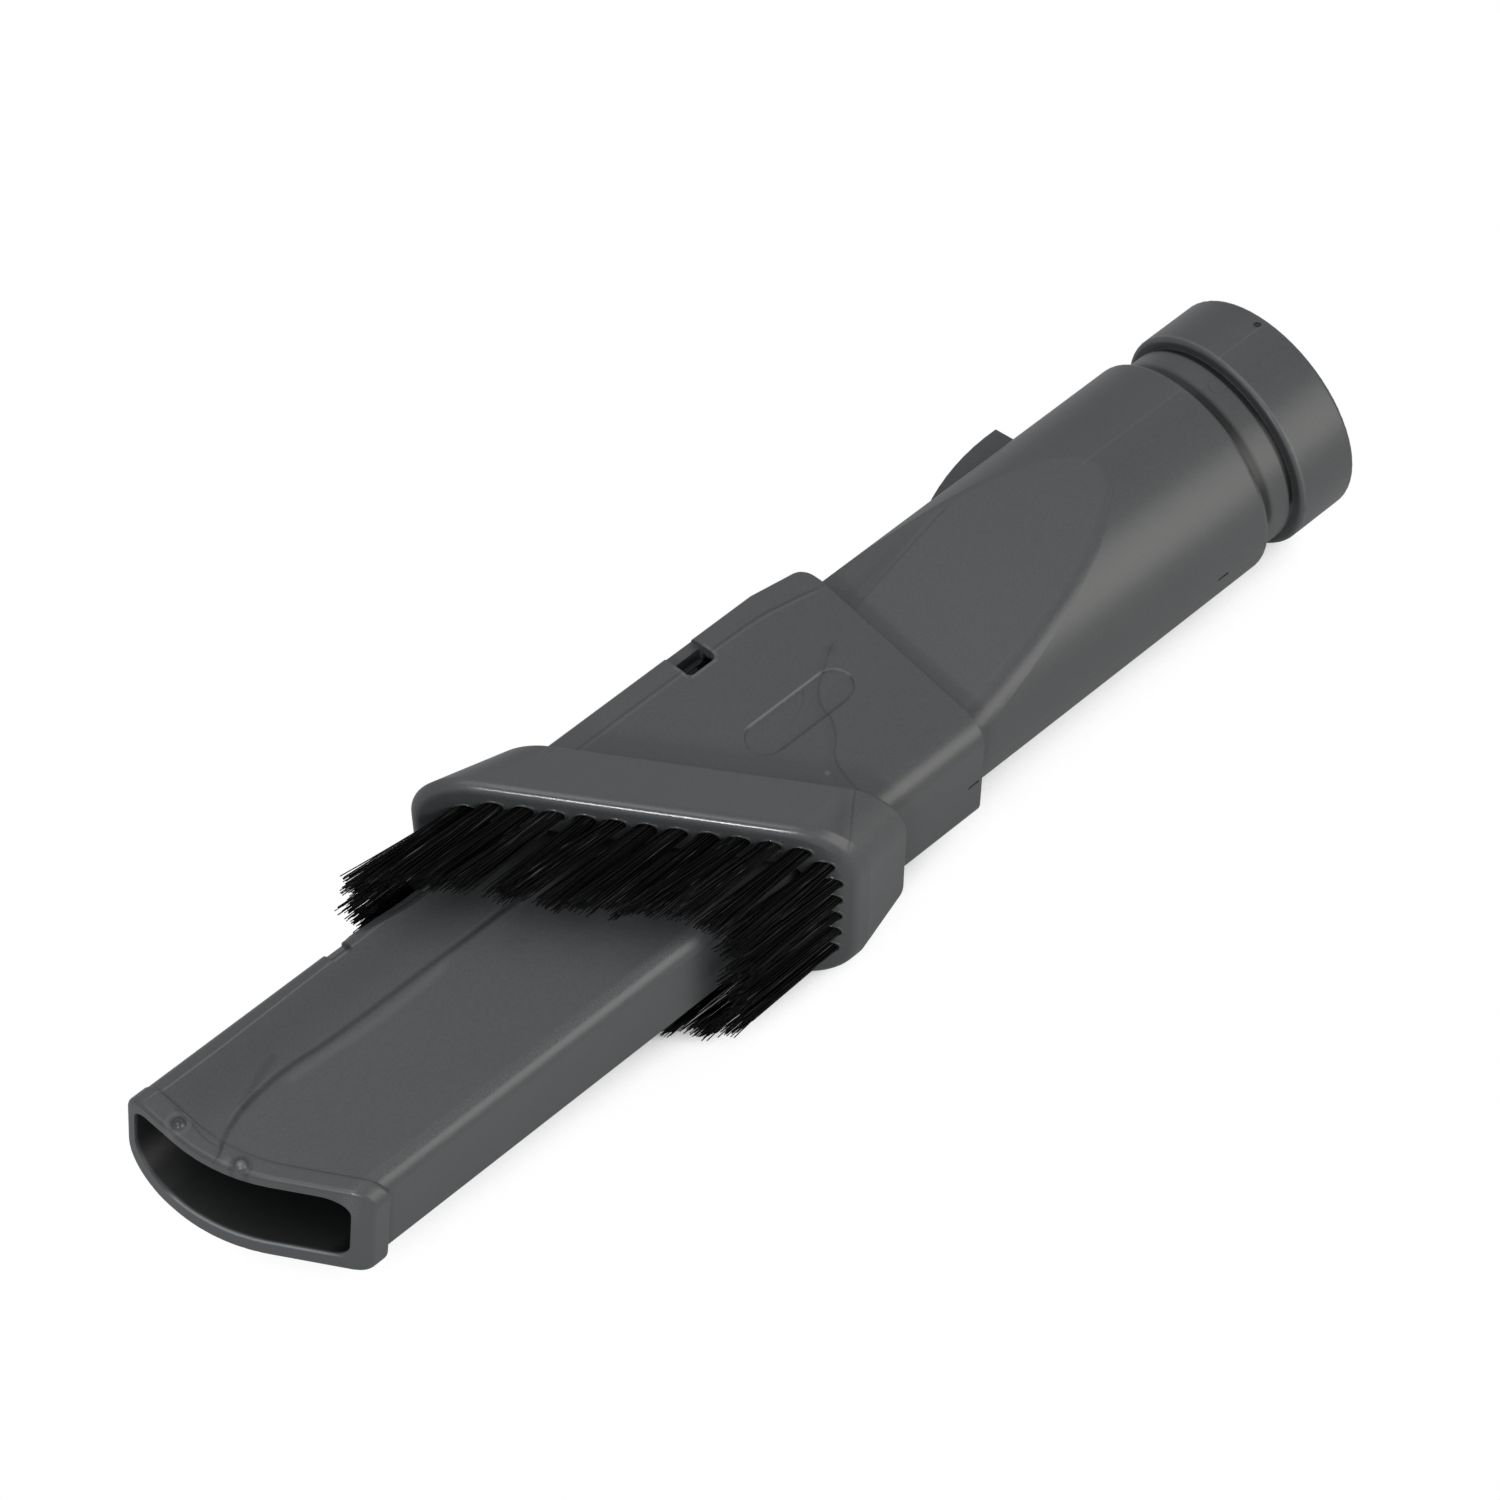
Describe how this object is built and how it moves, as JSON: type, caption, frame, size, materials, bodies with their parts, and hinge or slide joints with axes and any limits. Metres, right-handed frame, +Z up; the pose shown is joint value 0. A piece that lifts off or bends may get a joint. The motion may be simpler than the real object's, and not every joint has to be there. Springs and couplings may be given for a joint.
{
  "type": "crevice tool",
  "caption": "Flat vacuum crevice nozzle with a round connector and a raked brush on a carriage that slides along the nozzle to its mouth.",
  "frame": {"origin": "centre of the connector's open end, on the tube's axis", "axes": "+X along the tube to the nozzle's mouth, +Y to the raked side of the mouth, +Z up as it lies"},
  "size_m": [0.2208, 0.0548, 0.041],
  "materials": {
    "body_plastic": "dark grey satin moulded plastic with a fine spark-eroded grain",
    "carriage_plastic": "dark grey satin moulded plastic with faint flow lines",
    "bristle": "black nylon filament",
    "anchor_wire": "flat drawn wire"
  },
  "bodies": {
    "nozzle": {"nozzle_body": "body_plastic"},
    "carriage": {"brush_slider": "carriage_plastic", "tuft_anchors": "anchor_wire", "tuft_01": "bristle", "tuft_02": "bristle", "tuft_03": "bristle", "tuft_04": "bristle", "tuft_05": "bristle", "tuft_06": "bristle", "tuft_07": "bristle", "tuft_08": "bristle", "tuft_09": "bristle", "tuft_10": "bristle", "tuft_11": "bristle", "tuft_12": "bristle", "tuft_13": "bristle", "tuft_14": "bristle", "tuft_15": "bristle", "tuft_16": "bristle", "tuft_17": "bristle", "tuft_18": "bristle", "tuft_19": "bristle", "tuft_20": "bristle", "tuft_21": "bristle", "tuft_22": "bristle", "tuft_23": "bristle", "tuft_24": "bristle", "tuft_25": "bristle", "tuft_26": "bristle", "tuft_27": "bristle", "tuft_28": "bristle", "tuft_29": "bristle", "tuft_30": "bristle", "tuft_31": "bristle", "tuft_32": "bristle", "tuft_33": "bristle", "tuft_34": "bristle", "tuft_35": "bristle", "tuft_36": "bristle"}
  },
  "joints": [
    {"name": "carriage_slide", "type": "slide", "parent": "nozzle", "child": "carriage", "axis": [1, 0, 0], "range_m": [0, 0.072]}
  ]
}
